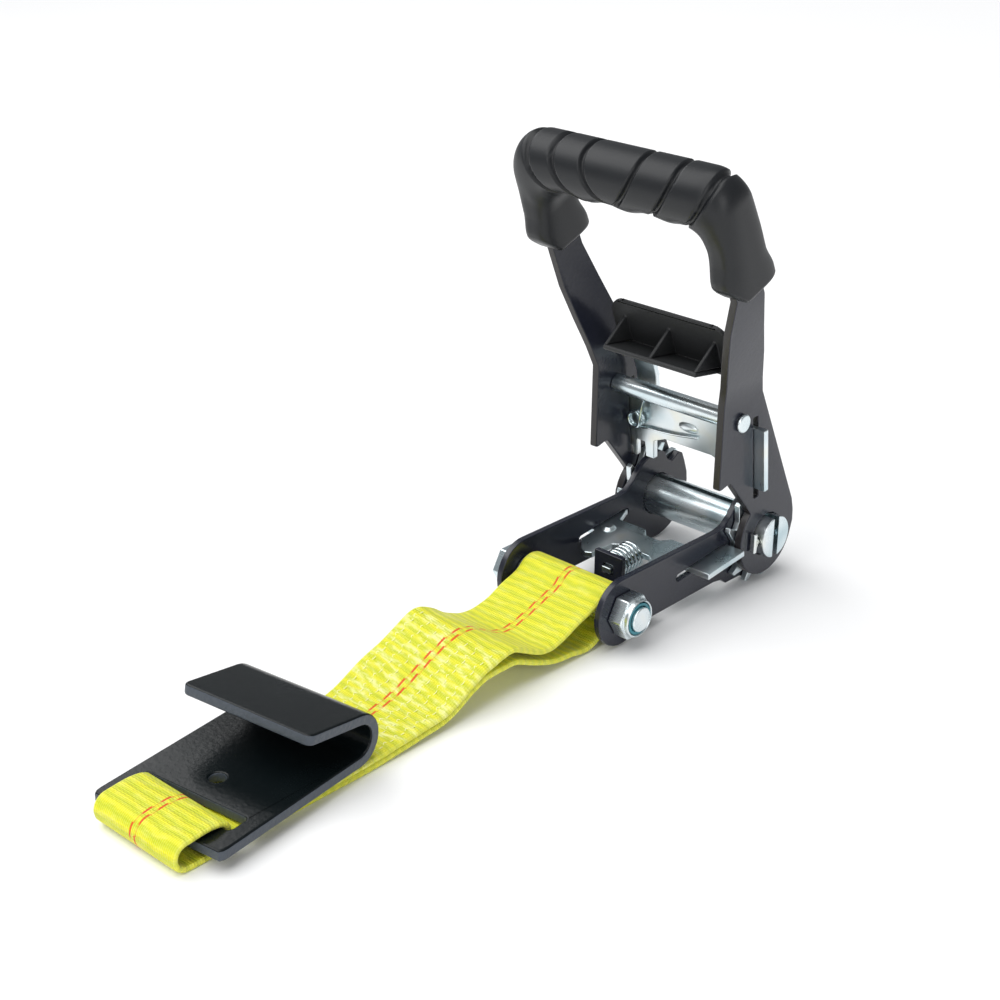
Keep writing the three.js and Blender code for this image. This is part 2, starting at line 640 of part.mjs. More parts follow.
tieDown.updateMatrixWorld(true);
const extent = new THREE.Box3().setFromObject(tieDown);
const middle = extent.getCenter(new THREE.Vector3());
tieDown.position.set(-middle.x, -middle.y, -extent.min.z);

export default tieDown;
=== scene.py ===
# %% [markdown]
# # A ratchet tie down
# This lesson finishes a ratchet buckle, its yellow webbing and its flat hook. The measured solids
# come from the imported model, and everything here stands around them without moving them. Metal
# plates keep their measured outline and only get rounded edges. The webbing, the soft grip, the
# springs and the small turned pieces are built new, because those need a finer surface.

# %% Load the measured model
import json
import math

import bmesh
import bpy
from mathutils import Matrix, Vector


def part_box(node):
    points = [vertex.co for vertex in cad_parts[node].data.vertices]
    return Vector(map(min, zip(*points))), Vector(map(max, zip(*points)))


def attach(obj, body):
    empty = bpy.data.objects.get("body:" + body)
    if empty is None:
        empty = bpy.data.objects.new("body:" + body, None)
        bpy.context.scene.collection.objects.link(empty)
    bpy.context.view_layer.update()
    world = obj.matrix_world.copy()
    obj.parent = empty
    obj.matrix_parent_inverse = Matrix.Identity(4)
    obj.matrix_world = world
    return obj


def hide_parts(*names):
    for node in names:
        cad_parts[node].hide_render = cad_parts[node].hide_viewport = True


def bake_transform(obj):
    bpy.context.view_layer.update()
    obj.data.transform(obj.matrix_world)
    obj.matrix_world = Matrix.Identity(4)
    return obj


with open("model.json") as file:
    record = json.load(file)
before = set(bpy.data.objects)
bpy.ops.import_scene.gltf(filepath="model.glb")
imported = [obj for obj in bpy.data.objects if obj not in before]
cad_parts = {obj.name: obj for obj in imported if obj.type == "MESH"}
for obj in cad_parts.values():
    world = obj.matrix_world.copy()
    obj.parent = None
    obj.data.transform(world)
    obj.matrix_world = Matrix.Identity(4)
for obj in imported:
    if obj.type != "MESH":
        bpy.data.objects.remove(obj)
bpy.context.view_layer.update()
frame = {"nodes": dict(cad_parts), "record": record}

MM = 0.001
JOINTS = {joint["name"]: joint for joint in frame["record"]["behaviour"]["joints"]}
SPINDLE = Vector(JOINTS["handle_pivot"]["pos_m"])
BOLT = Vector(JOINTS["strap_swing"]["pos_m"])
HOOK_BAR = Vector(JOINTS["hook_swing"]["pos_m"])
PAWL_UP = Vector(JOINTS["handle_pawl_slide"]["axis"])
ACROSS = Vector((0, 1, 0))
print("spindle axis at", [round(v, 4) for v in SPINDLE])

# %% [markdown]
# ## Shader maths as Python
# A pattern such as a weave is a formula. Wiring a formula by hand takes dozens of Math nodes, so
# one small class wraps a socket and lets Python's own operators add those nodes.


# %% Values and node trees
class Value:
    """A number that varies over a piece. Python's operators add Math nodes to its tree."""

    def __init__(self, nodes, socket):
        self.nodes = nodes
        self.socket = socket

    def math(self, operation, *others):
        inputs = dict(enumerate((self,) + others))
        return self.nodes.node("ShaderNodeMath", {"operation": operation}, inputs)

    def __add__(self, other):
        return self.math("ADD", other)

    def __mul__(self, other):
        return self.math("MULTIPLY", other)

    def __sub__(self, other):
        return self.math("SUBTRACT", other)

    def __rsub__(self, other):
        return self * -1.0 + other

    def __truediv__(self, other):
        return self.math("DIVIDE", other)

    def __abs__(self):
        return self.math("ABSOLUTE")

    def sin(self):
        return self.math("SINE")

    def wrap(self, period):
        """The remainder after whole periods, from 0 to period."""
        return self.math("WRAP", period, 0.0)

    def smooth(self, low, high):
        """0 below low, 1 above high, and a soft step between."""
        settings = {"interpolation_type": "SMOOTHSTEP"}
        sockets = {"Value": self, "From Min": low, "From Max": high}
        return self.nodes.node("ShaderNodeMapRange", settings, sockets)


class Nodes:
    """A node tree, and the one method that adds nodes to it."""

    def __init__(self, tree):
        self.tree = tree

    def node(self, kind, settings=None, sockets=None, out=0):
        """Adds a node: its settings first, then the values or links of its sockets."""
        made = self.tree.nodes.new(kind)
        for name, value in (settings or {}).items():
            if name == "stops":
                ramp = made.color_ramp.elements
                while len(ramp) < len(value):
                    ramp.new(0.5)
                for element, (position, shade) in zip(ramp, value):
                    element.position = position
                    element.color = (*shade, 1.0)
            else:
                setattr(made, name, value)
        for name, value in (sockets or {}).items():
            self.feed(made.inputs[name], value)
        return Value(self, made.outputs[out])

    def feed(self, socket, value):
        if isinstance(value, Value):
            self.tree.links.new(value.socket, socket)
        else:
            socket.default_value = value


class Finish(Nodes):
    """One procedural material: a Principled shader and what feeds it."""

    def __init__(self, name, **constants):
        self.material = bpy.data.materials.new(name)
        self.material.use_nodes = True
        super().__init__(self.material.node_tree)
        self.shader = self.tree.nodes["Principled BSDF"]
        for socket, value in constants.items():
            self.shader.inputs[socket.replace("_", " ")].default_value = value

    def drive(self, **sockets):
        for name, value in sockets.items():
            self.feed(self.shader.inputs[name.replace("_", " ")], value)

    def noise(self, where, scale, detail=3.0, roughness=0.5):
        return self.node("ShaderNodeTexNoise", {}, {
            "Vector": where, "Scale": scale, "Detail": detail, "Roughness": roughness})

    def place(self, scale=(1, 1, 1)):
        """Object coordinates in metres, stretched where a pattern needs it."""
        objects = self.node("ShaderNodeTexCoord", {}, {}, out=3)
        return self.node("ShaderNodeMapping", {}, {"Vector": objects, "Scale": scale})

    def blend(self, amount, low, high):
        """A colour between low and high. The Mix node's colour sockets are numbers 6 and 7."""
        return self.node("ShaderNodeMix", {"data_type": "RGBA"}, {0: amount, 6: low, 7: high}, out=2)

    def relief(self, height, depth):
        """Bump of that many metres, as a normal."""
        self.drive(Normal=self.node("ShaderNodeBump", {}, {"Height": height, "Distance": depth}))


def colour(red, green, blue):
    return (red, green, blue, 1.0)


def lighter(base, gain):
    return colour(*(gain * shade for shade in base))


# %% [markdown]
# ## Painted steel
# The base, the side plates and the hook are pressed steel under a thick glossy powder coat. Such a
# coat flows like orange peel, so its gloss breaks up softly over 1 to 2 mm. A tiny bump does that,
# and the paint is a little duller where hands and rails rub it.


# %% Paint
def paint(name, base, roughness, peel, ior=1.46):
    """A glossy paint; peel is the depth of its orange peel in metres."""
    finish = Finish(name, IOR=ior, Coat_Weight=0.05, Coat_Roughness=0.1)
    where = finish.place()
    flow = finish.noise(where, scale=520.0, detail=2.0)
    patches = finish.noise(where, scale=38.0, detail=4.0, roughness=0.6)
    specks = finish.noise(where, scale=2400.0, detail=1.0)
    finish.drive(
        Base_Color=finish.blend(patches, colour(*base), lighter(base, 1.6)),
        Roughness=patches * 0.16 + (specks * 0.06 + (roughness - 0.1)))
    finish.relief(flow + specks * 0.15, peel)
    return finish.material


BLACK_PAINT = paint("black_powder_coat", (0.0120, 0.0135, 0.0215), roughness=0.23, peel=0.00006)
HOOK_PAINT = paint(
    "black_hook_paint", (0.0028, 0.0046, 0.0052), roughness=0.24, peel=0.00010, ior=1.30)
CUT_EDGE_PAINT = paint(
    "thin_paint_on_cut_edges", (0.040, 0.049, 0.062), roughness=0.46, peel=0.00040)
# rougher, thinner paint on the handle plates' rims; its warm brownish tint is a painted reflection
RIM_PAINT_AND_REFLECTION = paint(
    "thin_paint_on_plate_rims", (0.013, 0.0115, 0.0125), roughness=0.30, peel=0.00010)
print("paints:", BLACK_PAINT.name, HOOK_PAINT.name)

# %% [markdown]
# ## Zinc plate and spring wire
# Pawls, spindle, wheels and nut are zinc plated: a bright metal with a cold blue tint that drifts
# to straw yellow in places. Rolled plate has faint drawn lines, so one noise is stretched along
# the piece. The roughness drifts too, which is what makes a plated face look handled.


# %% Zinc
def zinc(name, drawn, roughness):
    """Zinc plate whose drawn lines are stretched along the axis that drawn scales down."""
    finish = Finish(name, Metallic=1.0)
    broad = finish.noise(finish.place(), scale=45.0, detail=2.0)
    lines = finish.noise(finish.place(drawn), scale=900.0)
    pits = finish.noise(finish.place(), scale=1500.0, detail=2.0)
    tint = finish.node("ShaderNodeValToRGB", {"stops": [
        (0.30, (0.50, 0.62, 0.66)),
        (0.46, (0.66, 0.75, 0.78)),
        (0.62, (0.79, 0.845, 0.86)),
        (0.78, (0.84, 0.83, 0.73)),
    ]}, {"Fac": broad})
    finish.drive(Base_Color=tint, Roughness=broad * 0.14 + (lines * 0.06 + (roughness - 0.10)))
    finish.relief(lines * 0.8 + pits * 0.2, depth=0.000005)
    return finish.material


ZINC = zinc("zinc_plate", drawn=(1, 1, 0.06), roughness=0.30)
TURNED_ZINC = zinc("turned_zinc", drawn=(1, 0.04, 1), roughness=0.27)
SPRING_WIRE = zinc("plated_spring_wire", drawn=(1, 1, 1), roughness=0.17)
print("zinc in", ZINC.name, TURNED_ZINC.name, SPRING_WIRE.name)

# %% [markdown]
# ## Soft grip, hard pull and nylon ring
# The grip is a soft moulding with a fine matt skin. The finger pull is a harder plastic, spark
# eroded, so it has a coarser grain. Both are nearly black, and what tells them apart is how wide
# their highlights are. The lock nut's nylon ring is moulded too, in a blue green.


# %% Mouldings
def moulding(name, base, roughness, grain, depth):
    """A moulded plastic or rubber whose skin has that grain, pressed in by that depth in metres."""
    finish = Finish(name, IOR=1.42)
    skin = finish.noise(finish.place(), scale=grain, detail=2.0)
    wear = finish.noise(finish.place(), scale=30.0, detail=4.0, roughness=0.6)
    finish.drive(
        Base_Color=finish.blend(wear, colour(*base), lighter(base, 1.5)),
        Roughness=wear * 0.14 + (roughness - 0.07))
    finish.relief(skin, depth)
    return finish.material


GRIP_RUBBER = moulding(
    "soft_grip_rubber", (0.0068, 0.0078, 0.0094), roughness=0.40, grain=2600.0, depth=0.00003)
PULL_PLASTIC = moulding(
    "matt_pull_plastic", (0.0185, 0.0195, 0.0205), roughness=0.46, grain=1500.0, depth=0.00005)
NYLON = moulding(
    "blue_green_nylon", (0.03, 0.17, 0.21), roughness=0.38, grain=1200.0, depth=0.00002)
print("mouldings:", GRIP_RUBBER.name, PULL_PLASTIC.name, NYLON.name)

# %% [markdown]
# ## Yellow webbing
# The strap is heavy polyester tape. Its weft makes ribs about a millimetre apart across the tape,
# a slower ripple every few millimetres comes from the loom's tension, and two dashed warp threads
# run down the middle as tracers. The pattern has to follow the strap round its bends, so it reads
# the strap's own UV map, which holds millimetres across and along.


# %% Webbing finish
HALF_WIDTH = 25.0
WEFT_PITCH, WARP_PITCH, GRAIN_PITCH, RIPPLE_PITCH = 1.3, 1.05, 2.6, 4.4
DASH_PITCH, TRACER_OFFSET, TRACER_HALF, FAR_TRACER_PHASE = 8.8, 1.5, 0.62, 3.6
WEAVE_DEPTH = 0.00034


def webbing_finish(sewn_from, sewn_to):
    finish = Finish("yellow_webbing", Specular_IOR_Level=0.35, Sheen_Weight=0.12, Sheen_Roughness=0.4)
    uv = finish.node("ShaderNodeUVMap", {"uv_map": "strap_mm"})
    parts = finish.node("ShaderNodeSeparateXYZ", {}, {"Vector": uv})
    across, along = parts, Value(finish, parts.socket.node.outputs[1])
    turn = 2 * math.pi
    wander = finish.noise(uv, scale=0.11)
    stretched = finish.node("ShaderNodeMapping", {}, {"Vector": uv, "Scale": (0.32, 1.6, 1)})
    fibre = finish.noise(stretched, scale=1.5)
    patches = finish.node("ShaderNodeMapping", {}, {"Vector": uv, "Scale": (0.11, 0.30, 1)})
    flecks = finish.noise(patches, scale=1.0, detail=4.0, roughness=0.62)

    # the weft's ribs, broken into grains by the warp, on a slower ripple
    grains = (across * (turn / GRAIN_PITCH)).sin() * 0.8
    weft = (along * (turn / WEFT_PITCH) + grains).sin()
    warp = (across * (turn / WARP_PITCH)).sin()
    ripple = (along * (turn / RIPPLE_PITCH) + wander * 5.5).sin()

    def tracer(offset, phase):
        """A dashed warp thread that far from the middle, each dash at a slight slant."""
        slant = (along + phase).wrap(DASH_PITCH) * 0.07 - 0.2
        line = 1 - (abs(across - offset + slant) / TRACER_HALF).smooth(0.6, 1.0)
        beat = (along + phase + fibre * 1.6).wrap(DASH_PITCH)
        dash = beat.smooth(0.0, 1.0) * (1 - beat.smooth(5.0, 6.6))
        return line * (dash * 0.76 + 0.24)

    tracers = tracer(-TRACER_OFFSET, 0.0) + tracer(TRACER_OFFSET, FAR_TRACER_PHASE)
    sewn = along.smooth(sewn_from - 5, sewn_from + 8) * (1 - along.smooth(sewn_to - 5, sewn_to + 5))

    # painted light and shade: lighter, warmer yellow on the ripple's crests, greener and darker yellow
    # in its troughs and in the weft's hollows; and paler where fibres fray, at the edges of the tape
    # and between the warp threads
    # painted highlight and shade on the ripple: its crests lighter and warmer, its troughs darker and
    # greener
    cloth = finish.blend(ripple * 0.5 + 0.5, colour(0.53, 0.58, 0.002), colour(0.73, 0.70, 0.004))
    frayed = flecks.smooth(0.46, 0.70) * (sewn * 0.62 + 0.16)
    cloth = finish.blend(frayed, cloth, colour(0.93, 0.93, 0.42))
    # painted shade: darker, greener yellow in the hollows between the weft's ribs
    painted_shade_in_hollows = 0.14 - (weft * 0.5 + 0.5).smooth(0.0, 0.5) * 0.14
    cloth = finish.blend(painted_shade_in_hollows, cloth, colour(0.50, 0.55, 0.0))
    selvedge = (abs(across) / HALF_WIDTH).smooth(0.93, 0.99) * 0.3
    cloth = finish.blend(selvedge, cloth, colour(0.94, 0.95, 0.20))
    between_warps = (warp * -0.5 + 0.5).smooth(0.72, 1.0) * 0.22
    cloth = finish.blend(between_warps, cloth, colour(0.95, 0.95, 0.36))

    thread = finish.blend(fibre, colour(0.52, 0.020, 0.001), colour(0.84, 0.13, 0.002))
    finish.drive(Base_Color=finish.blend(tracers, cloth, thread), Roughness=fibre * 0.25 + 0.40)
    height = weft * 0.20 + warp * 0.14 + ripple * 0.42 + fibre * 0.30 + flecks * 0.5
    finish.relief(height, WEAVE_DEPTH)
    return finish.material


def thread_finish():
    finish = Finish("pale_sewing_thread", Roughness=0.5, Specular_IOR_Level=0.4, Sheen_Weight=0.2)
    shade = finish.noise(finish.place(), scale=700.0, detail=2.0)
    finish.drive(Base_Color=finish.blend(shade, colour(0.90, 0.90, 0.30), colour(0.97, 0.97, 0.62)))
    return finish.material


THREAD = thread_finish()
print("thread:", THREAD.name)

# %% [markdown]
# ## Plates and turned pieces from the measured solids
# A pressed plate has exactly the outline that was measured, so its mesh is a copy of the measured
# solid. The copy is merged, its flat faces are joined again, and a small bevel rounds each edge as
# tumbling and paint do. Weighted normals keep the wide faces flat under a soft edge.


# %% Helpers for meshes
BEVEL_SEGMENTS, SHARP_ANGLE = 3, math.radians(32)
MERGE_DISTANCE, FLAT_ANGLE = 0.06 * MM, math.radians(0.6)


def as_piece(name, mesh, material, slot, body, nodes):
    """One finished piece: its material, its body and the measured nodes that it stands for."""
    obj = bpy.data.objects.new(name, mesh)
    bpy.context.scene.collection.objects.link(obj)
    mesh.materials.clear()
    mesh.materials.append(material)
    if body:
        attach(obj, body)
    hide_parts(*nodes)
    return obj


def mixed(a, b, share):
    return a + (b - a) * share


def eased(value, low, high):
    """0 below low, 1 above high, and a soft step between."""
    share = min(max((value - low) / (high - low), 0.0), 1.0)
    return share * share * (3 - 2 * share)


def body_of(node):
    bodies = frame["record"]["behaviour"]["bodies"]
    return next(body for body, nodes in bodies.items() if node in nodes)


def softened(mesh, width):
    """The mesh with its sharp edges rounded over, as a new plain mesh with clean shading."""
    holder = bpy.data.objects.new("softening", mesh)
    bpy.context.scene.collection.objects.link(holder)
    bevel = holder.modifiers.new("edges", "BEVEL")
    bevel.width = width
    bevel.segments = BEVEL_SEGMENTS
    bevel.limit_method = "ANGLE"
    bevel.angle_limit = SHARP_ANGLE
    bevel.use_clamp_overlap = False
    bevel.miter_outer = "MITER_ARC"
    normals = holder.modifiers.new("flat faces", "WEIGHTED_NORMAL")
    normals.keep_sharp = True
    graph = bpy.context.evaluated_depsgraph_get()
    result = bpy.data.meshes.new_from_object(holder.evaluated_get(graph))
    bpy.data.objects.remove(holder)
    return result


HOOK_YAW = math.radians(7)
HOOK_ALONG = Vector((math.cos(HOOK_YAW), math.sin(HOOK_YAW), 0))
HOOK_ACROSS = Vector((-math.sin(HOOK_YAW), math.cos(HOOK_YAW), 0))
LIP_HEIGHT, LIP_SIDE, LIP_REACH, LIP_ROUNDING = 20 * MM, 30 * MM, 47 * MM, 3.2 * MM


def round_lip(shape):
    """Rounds the two corners of the hook's lip, which are upright edges high on its front end."""
    corners = []
    for edge in shape.edges:
        middle = (edge.verts[0].co + edge.verts[1].co) / 2
        run = (edge.verts[1].co - edge.verts[0].co).normalized()
        side = abs((middle - HOOK_BAR).dot(HOOK_ACROSS)) > LIP_SIDE
        front = (middle - HOOK_BAR).dot(HOOK_ALONG) < LIP_REACH
        upright = abs(run.z) > 0.9
        if side and front and upright and middle.z > LIP_HEIGHT:
            corners.append(edge)
    bmesh.ops.bevel(
        shape, geom=corners, offset=LIP_ROUNDING, segments=6, profile=0.5, affect="EDGES")


def measured_copy(node):
    """A merged copy of a measured solid, with its flat faces joined again."""
    shape = bmesh.new()
    shape.from_mesh(frame["nodes"][node].data)
    bmesh.ops.remove_doubles(shape, verts=shape.verts, dist=MERGE_DISTANCE)
    bmesh.ops.dissolve_limit(
        shape, angle_limit=FLAT_ANGLE, verts=shape.verts, edges=shape.edges,
        use_dissolve_boundaries=False)
    if node == "flat_hook":
        round_lip(shape)
    for face in shape.faces:
        face.smooth = True
    mesh = bpy.data.meshes.new(node + "_mesh")
    shape.to_mesh(mesh)
    shape.free()
    return mesh


def plate_piece(node, material, slot, edge):
    mesh = softened(measured_copy(node), edge)
    obj = as_piece("fine_" + node, mesh, material, slot, body_of(node), [node])
    print(f"{obj.name}: {len(mesh.polygons)} faces, edge {edge / MM:.2f} mm")


# %% Every piece that keeps its measured outline
# each node's material, its slot and the width of its rounded edges in millimetres
PLATES = {
    "base_frame": (BLACK_PAINT, "black_paint", 0.5),
    "handle_side_left": (BLACK_PAINT, "black_paint", 0.55),
    "handle_side_right": (BLACK_PAINT, "black_paint", 0.55),
    "flat_hook": (HOOK_PAINT, "hook_paint", 1.1),
    "base_pawl": (ZINC, "zinc", 0.4),
    "handle_pawl": (ZINC, "zinc", 0.4),
    "ratchet_wheel_left": (ZINC, "zinc", 0.3),
    "ratchet_wheel_right": (ZINC, "zinc", 0.3),
    "spindle_half_front": (TURNED_ZINC, "zinc", 0.5),
    "spindle_half_rear": (TURNED_ZINC, "zinc", 0.5),
    "spacer_tube": (TURNED_ZINC, "zinc", 0.3),
    "handle_rivet": (TURNED_ZINC, "zinc", 0.9),
    "grip_rod": (TURNED_ZINC, "zinc", 0.4),
    "bolt_sleeve": (TURNED_ZINC, "zinc", 0.3),
    "finger_pull": (PULL_PLASTIC, "matte_plastic", 0.6),
    "nut_nylon_ring": (NYLON, "nylon", 0.3),
    "end_bolt": (TURNED_ZINC, "zinc", 0.6),
    "lock_nut": (TURNED_ZINC, "zinc", 0.6),
    "split_pin_left": (SPRING_WIRE, "spring_steel", 0.5),
    "split_pin_right": (SPRING_WIRE, "spring_steel", 0.5),
}
for node, (material, slot, edge) in PLATES.items():
    plate_piece(node, material, slot, edge * MM)

# %% [markdown]
# ## Cut edges
# Paint draws back from a sheared edge, so the rim of a plate is rougher than its faces, and a thin
# coat looks greyer. The hook is thick enough to show it well. The handle's side plates get rougher
# rims along their splayed outline too, with a warm brownish tint there that is a painted reflection.
# Faces that look sideways, out of the sheet, get a second material; on the hook that means its
# sides, its two ends, the slot and the small hole.

# %% Rims
HOOK_PLATE_REACH, HOOK_PLATE_TOP = 35, 5.5 * MM
HOOK_LIP_REACH, HOOK_LIP_LOW = 46, 20 * MM
SIDEWAYS, NOT_UP, NOT_ACROSS = 0.88, 0.45, 0.4


def paint_rims(name, material, is_rim):
    """Gives a second material to the faces of a piece that is_rim picks."""
    mesh = bpy.data.objects[name].data
    mesh.materials.append(material)
    count = 0
    for face in mesh.polygons:
        if is_rim(face.center, face.normal):
            face.material_index = 1
            count += 1
    print(name, "rim faces:", count)


def hook_rim(centre, normal):
    """True on the hook's cut faces: its sides, its ends and the walls of its slot and hole."""
    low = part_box("flat_hook")[0].z
    if abs(normal.dot(HOOK_ACROSS)) > SIDEWAYS:
        return True
    reach = (centre - HOOK_BAR).dot(HOOK_ALONG) / MM
    flat_part = reach < HOOK_PLATE_REACH and centre.z < low + HOOK_PLATE_TOP
    lip_end = reach < HOOK_LIP_REACH and centre.z > low + HOOK_LIP_LOW
    return (flat_part or lip_end) and abs(normal.z) < NOT_UP


def side_plate_rim(centre, normal):
    """True on a side plate's edge, which looks anywhere but across the buckle."""
    return abs(normal.y) < NOT_ACROSS


paint_rims("fine_flat_hook", CUT_EDGE_PAINT, hook_rim)
# the side plates' rims get rougher paint, with a painted reflection in its warm brownish tint
for side in ("left", "right"):
    paint_rims(f"fine_handle_side_{side}", RIM_PAINT_AND_REFLECTION, side_plate_rim)

# %% [markdown]
# ## Springs
# Two springs hold the pawls in the teeth: a coil round the base pawl's tongue, and a hairpin on the
# handle pawl. Both are wire on a path, so one node tree sweeps a round section along any guide
# line. The guide is a bare polyline; the tree smooths it and gives the wire its thickness.

# %% A tree that sweeps wire
WIRE_SIDES = 12


def named_tree(name, sizes):
    """A geometry tree with a Geometry input and output, and a named number input for each size."""
    tree = bpy.data.node_groups.new(name, "GeometryNodeTree")
    tree.interface.new_socket("Geometry", in_out="INPUT", socket_type="NodeSocketGeometry")
    tree.interface.new_socket("Geometry", in_out="OUTPUT", socket_type="NodeSocketGeometry")
    for size in sizes:
        tree.interface.new_socket(size, in_out="INPUT", socket_type="NodeSocketFloat")
    nodes = Nodes(tree)
    entry = tree.nodes.new("NodeGroupInput")
    return nodes, {socket.name: Value(nodes, socket) for socket in entry.outputs if socket.name}


def close_tree(nodes, shape, material):
    """Ends a tree: the shape becomes a real mesh of one material and goes to the output."""
    shape = nodes.node("GeometryNodeRealizeInstances", {}, {"Geometry": shape})
    shape = nodes.node("GeometryNodeSetMaterial", {}, {"Geometry": shape, "Material": material})
    nodes.feed(nodes.tree.nodes.new("NodeGroupOutput").inputs["Geometry"], shape)
    return nodes.tree


def swept(nodes, path, radius, sides):
    """A round section of that radius along the path, closed at both ends."""
    section = nodes.node(
        "GeometryNodeCurvePrimitiveCircle", {}, {"Resolution": sides, "Radius": radius})
    wire = nodes.node("GeometryNodeCurveToMesh", {}, {
        "Curve": path, "Profile Curve": section, "Fill Caps": True})
    return nodes.node("GeometryNodeSetShadeSmooth", {}, {"Geometry": wire})


def wire_tree(material):
    """Sweeps smooth wire along guide lines, in even steps."""
    nodes, given = named_tree("wire_" + material.name, ["Wire radius", "Step"])
    path = nodes.node("GeometryNodeMeshToCurve", {}, {"Mesh": given["Geometry"]})
    path = nodes.node("GeometryNodeCurveSplineType", {"spline_type": "BEZIER"}, {"Curve": path})
    path = nodes.node("GeometryNodeCurveSetHandles", {"handle_type": "AUTO"}, {"Curve": path})
    even = nodes.node("GeometryNodeResampleCurve", {"mode": "LENGTH"}, {
        "Curve": path, "Length": given["Step"]})
    return close_tree(nodes, swept(nodes, even, given["Wire radius"], WIRE_SIDES), material)


def grow(tree, lines, **sizes):
    """Runs a tree on guide lines and returns the plain mesh that it makes.

    A size's name is that of the tree's input, with underscores for its spaces.
    """
    guide = bpy.data.meshes.new("guide")
    points, links = [], []
    for line in lines:
        links += [(len(points) + i, len(points) + i + 1) for i in range(len(line) - 1)]
        points += [tuple(p) for p in line]
    guide.from_pydata(points, links, [])
    holder = bpy.data.objects.new("guide", guide)
    bpy.context.scene.collection.objects.link(holder)
    growth = holder.modifiers.new("growth", "NODES")
    growth.node_group = tree
    for item in tree.interface.items_tree:
        size = item.name.replace(" ", "_")
        if size in sizes and item.in_out == "INPUT":
            growth[item.identifier] = sizes[size]
    graph = bpy.context.evaluated_depsgraph_get()
    mesh = bpy.data.meshes.new_from_object(holder.evaluated_get(graph))
    holder.modifiers.remove(growth)
    bpy.data.objects.remove(holder)
    return mesh


SPRING_TREE = wire_tree(SPRING_WIRE)

# %% The coil on the base pawl
PAWL_TILT = math.radians(5.3)
COIL_FROM, COIL_TO, COIL_RADIUS, COIL_TURNS = -68.0, -54.1, 6.3, 6
STEPS_PER_TURN, CLOSED_SHARE, END_GAP = 24, 0.08, 0.04
COIL_WIRE, WIRE_STEP = 0.72 * MM, 0.9 * MM


def base_coil_line():
    """A helix whose two ends run without pitch, as the closed ends of a spring do."""
    steps = COIL_TURNS * STEPS_PER_TURN
    for step in range(steps + 1):
        share = step / steps
        pitched = min(max((share - CLOSED_SHARE) / (1 - 2 * CLOSED_SHARE), 0), 1)
        x = mixed(COIL_FROM, COIL_TO, mixed(END_GAP, 1 - END_GAP, pitched))
        angle = share * COIL_TURNS * 2 * math.pi
        z = COIL_RADIUS * math.sin(angle)
        y = COIL_RADIUS * math.cos(angle)
        ahead = x * math.cos(PAWL_TILT) - z * math.sin(PAWL_TILT)
        up = x * math.sin(PAWL_TILT) + z * math.cos(PAWL_TILT)
        yield SPINDLE + Vector((ahead, y, up)) * MM


coil = as_piece(
    "base_pawl_coil",
    grow(SPRING_TREE, [list(base_coil_line())], Wire_radius=COIL_WIRE, Step=WIRE_STEP),
    SPRING_WIRE, "spring_steel", None, ["base_pawl_spring"])
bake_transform(coil)

# %% The hairpin on the handle pawl
PAWL_NORMAL = Vector((PAWL_UP.z, 0, -PAWL_UP.x))
PAWL_OFFSET = -8.5
HAIRPIN_WIRE = 0.75 * MM
HAIRPIN_COIL_STEPS, HAIRPIN_PITCH = 16, 0.1


def on_pawl(across, up, out):
    """A point by the handle pawl: across it, up it and out of its front."""
    return SPINDLE + (ACROSS * across + PAWL_UP * up + PAWL_NORMAL * (PAWL_OFFSET + out)) * MM


def hairpin_line():
    """A leg across the pawl, two turns and a bit at its side, and a leg up to the handle."""
    front, centre, radius, turns = -2.45, (29.6, 47.0), 3.7, 2
    yield from (on_pawl(*p) for p in ((-7, 46.6, front), (8, 44.2, front), (22, 43.2, front)))
    for step in range(turns * HAIRPIN_COIL_STEPS + 5):
        angle = -math.pi / 2 - step / HAIRPIN_COIL_STEPS * 2 * math.pi
        across = centre[0] + radius * math.cos(angle)
        up = centre[1] + radius * math.sin(angle)
        yield on_pawl(across, up, front - step * HAIRPIN_PITCH)
    yield from (on_pawl(*p) for p in ((24.5, 56, -5), (22, 63, -5)))


hairpin = as_piece(
    "handle_pawl_hairpin",
    grow(SPRING_TREE, [list(hairpin_line())], Wire_radius=HAIRPIN_WIRE, Step=WIRE_STEP),
    SPRING_WIRE, "spring_steel", None, ["hairpin_spring"])
on_pawl(22, 63, -5)
on_pawl(22, 52, -5)
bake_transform(hairpin)
print("springs:", len(coil.data.polygons), len(hairpin.data.polygons), "faces")

# %% [markdown]
# ## The grip
# The grip is a soft moulding over the two arms: a round bar between two flatter legs, with large
# soft corners. It could be boxes and a cylinder joined together, but its charm is that one form
# melts into the other. So it is lofted: each step along the bow has an inner and an outer point,
# and a rounded section between them that turns from round on the bar to a soft square on the leg.
# Finger waves and the six cut grooves are then pressed into that dense skin. A leg's end slants up
# in front, so it is closed by narrow strips, which can follow the slant.

# %% Sizes of the grip
GRIP_AT = Vector((-68.5, 0, 180.2))
GRIP_UP = Vector((-0.4125, 0, 0.911))
GRIP_FRONT = Vector((-0.911, 0, -0.4125))
BAR = 14.0
LEG_INSIDE, LEG_OUTSIDE = 44.5, 60.5
OUTER_BEND, INNER_BEND = 14.5, 11.0
BEND_FROM = LEG_INSIDE - INNER_BEND
LEG_FROM = -BAR - INNER_BEND
# where the grooves cross the bar, how they are cut, and how they veer to the middle as they go
# round it; the middle pair stop where they would meet
GROOVES = (16.3, 33.4, 48.5, -13.5, -33.5, -52.8)
GROOVE_DEPTH, GROOVE_HALF = 2.1, 1.75
GROOVE_FLOOR = 0.45 * GROOVE_HALF
VEER, VEER_FROM, VEER_TO = 0.0012, 15.0, 130.0
MIDDLE_PAIR, MIDDLE_STOP = 20.0, (118.0, 128.0)
